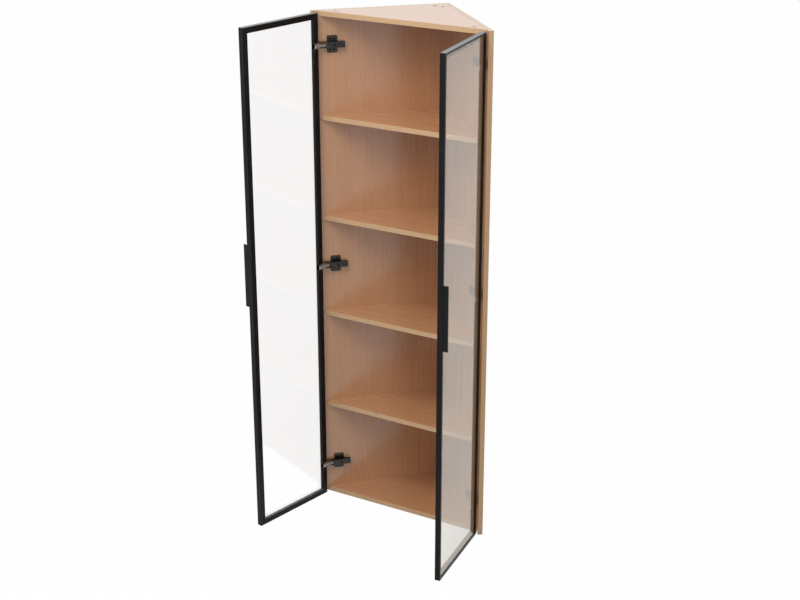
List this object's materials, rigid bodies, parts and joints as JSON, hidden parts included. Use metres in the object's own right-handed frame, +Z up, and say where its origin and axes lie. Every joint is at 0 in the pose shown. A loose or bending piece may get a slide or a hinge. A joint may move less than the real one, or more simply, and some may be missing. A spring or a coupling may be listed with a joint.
{
  "type": "corner bookcase with glass doors",
  "caption": "Tall triangular corner bookcase: oak-finish boards, level shelves, and two black framed glass doors on concealed hinges.",
  "frame": {"origin": "on the floor, under the centroid of the triangular base (120 mm behind the line of the outer front corners)", "axes": "+X to the right along the front, +Y back into the corner, +Z up; the front faces -Y"},
  "size_m": [0.8234, 0.7306, 1.9],
  "materials": {
    "oak_board": "laminated board with a straight light oak grain, satin",
    "oak_edging": "light oak edge strip",
    "beech": "fluted hardwood dowel",
    "zinc": "bright zinc plate",
    "clear_glass": "clear float glass",
    "black_rubber": "soft black seal",
    "cast_aluminium": "raw cast",
    "black_aluminium": "matt black anodised",
    "black_screw": "black zinc screw",
    "steel_pin": "turned steel",
    "link_steel": "dark nickel plate",
    "hinge_steel": "dark nickel plate"
  },
  "bodies": {
    "cabinet": {"bottom_cam_locks": "zinc", "bottom_panel": "oak_board", "cam_bolts": "zinc", "corner_screws": "zinc", "deck_edging": "oak_edging", "left_hinge_arm_rivets": "steel_pin", "left_hinge_arm_screws": "black_screw", "left_hinge_arms": "hinge_steel", "left_hinge_mounting_plates": "hinge_steel", "left_mounting_plate_screws": "black_screw", "left_side_panel": "oak_board", "right_hinge_arm_rivets": "steel_pin", "right_hinge_arm_screws": "black_screw", "right_hinge_arms": "hinge_steel", "right_hinge_mounting_plates": "hinge_steel", "right_mounting_plate_screws": "black_screw", "right_side_panel": "oak_board", "shelf_1": "oak_board", "shelf_2": "oak_board", "shelf_3": "oak_board", "shelf_4": "oak_board", "shelf_edging": "oak_edging", "shelf_pins": "zinc", "side_panel_edging": "oak_edging", "top_cam_locks": "zinc", "top_panel": "oak_board", "wooden_dowels": "beech"},
    "right_outer_links": {"right_outer_hinge_links": "link_steel"},
    "right_inner_links": {"right_inner_hinge_links": "link_steel"},
    "right_door": {"right_door_bottom_rail": "black_aluminium", "right_door_corner_brackets": "cast_aluminium", "right_door_free_stile": "black_aluminium", "right_door_glass": "clear_glass", "right_door_glass_seals": "black_rubber", "right_door_hinge_stile": "black_aluminium", "right_door_pull": "black_aluminium", "right_door_pull_screws": "black_screw", "right_door_top_rail": "black_aluminium", "right_hinge_cup_rivets": "steel_pin", "right_hinge_cup_screws": "black_screw", "right_hinge_cups": "hinge_steel"},
    "left_outer_links": {"left_outer_hinge_links": "link_steel"},
    "left_inner_links": {"left_inner_hinge_links": "link_steel"},
    "left_door": {"left_door_bottom_rail": "black_aluminium", "left_door_corner_brackets": "cast_aluminium", "left_door_free_stile": "black_aluminium", "left_door_glass": "clear_glass", "left_door_glass_seals": "black_rubber", "left_door_hinge_stile": "black_aluminium", "left_door_pull": "black_aluminium", "left_door_pull_screws": "black_screw", "left_door_top_rail": "black_aluminium", "left_hinge_cup_rivets": "steel_pin", "left_hinge_cup_screws": "black_screw", "left_hinge_cups": "hinge_steel"}
  },
  "joints": [
    {"name": "right_outer_link_swing", "type": "hinge", "parent": "cabinet", "child": "right_outer_links", "pos_m": [0.3248, -0.1236, 0.953], "axis": [0, 0, 1], "range_deg": [-4.78, 50.89]},
    {"name": "right_door_swing", "type": "hinge", "parent": "right_outer_links", "child": "right_door", "pos_m": [0.32555, -0.14877, 0.953], "axis": [0, 0, 1], "range_deg": [-146.88, 13.77]},
    {"name": "right_inner_link_swing", "type": "hinge", "parent": "right_door", "child": "right_inner_links", "pos_m": [0.32154, -0.1505, 0.953], "axis": [0, 0, 1], "range_deg": [-11.44, 121.93]},
    {"name": "left_outer_link_swing", "type": "hinge", "parent": "cabinet", "child": "left_outer_links", "pos_m": [-0.3248, -0.1236, 0.953], "axis": [0, 0, -1], "range_deg": [-1.6, 54.07]},
    {"name": "left_door_swing", "type": "hinge", "parent": "left_outer_links", "child": "left_door", "pos_m": [-0.32415, -0.14877, 0.953], "axis": [0, 0, -1], "range_deg": [-156.06, 4.59]},
    {"name": "left_inner_link_swing", "type": "hinge", "parent": "left_door", "child": "left_inner_links", "pos_m": [-0.32034, -0.15091, 0.953], "axis": [0, 0, -1], "range_deg": [-3.82, 129.55]}
  ],
  "couplings": [
    {"joint": "right_outer_link_swing", "follows": "right_door_swing", "ratio": -0.34641},
    {"joint": "right_inner_link_swing", "follows": "right_door_swing", "ratio": -0.83007},
    {"joint": "left_outer_link_swing", "follows": "left_door_swing", "ratio": -0.34641},
    {"joint": "left_inner_link_swing", "follows": "left_door_swing", "ratio": -0.83007}
  ]
}
